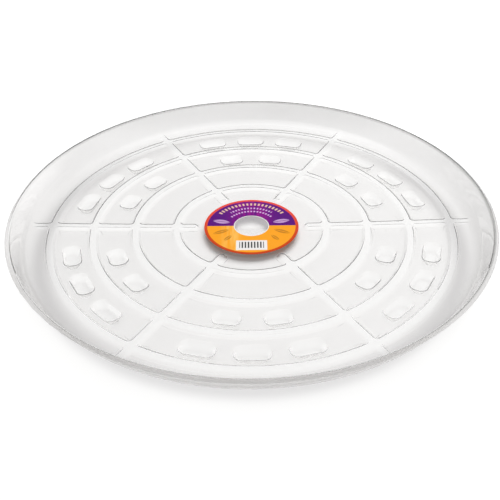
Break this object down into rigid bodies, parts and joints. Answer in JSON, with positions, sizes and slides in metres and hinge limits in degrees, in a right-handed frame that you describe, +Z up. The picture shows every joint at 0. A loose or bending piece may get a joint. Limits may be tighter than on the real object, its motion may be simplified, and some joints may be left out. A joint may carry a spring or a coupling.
{
  "type": "footed plant saucer",
  "caption": "Clear round saucer for a plant pot, one formed sheet with ring and spoke ridges, hollow tapered feet, a rolled rim and a round paper label on the centre.",
  "frame": {"origin": "centre of the circle that the feet stand on, at table height", "axes": "+Z up through the centre of the rings, +X along one spoke, +Y square to it towards the side that lies farther from the viewer in the picture"},
  "size_m": [0.5334, 0.5334, 0.04],
  "materials": {
    "clear_plastic": "clear, glossy, with the faint waviness of formed sheet",
    "printed_paper": "two-colour print, semi-gloss"
  },
  "bodies": {
    "root": {"saucer": "clear_plastic", "label": "printed_paper"}
  },
  "joints": []
}
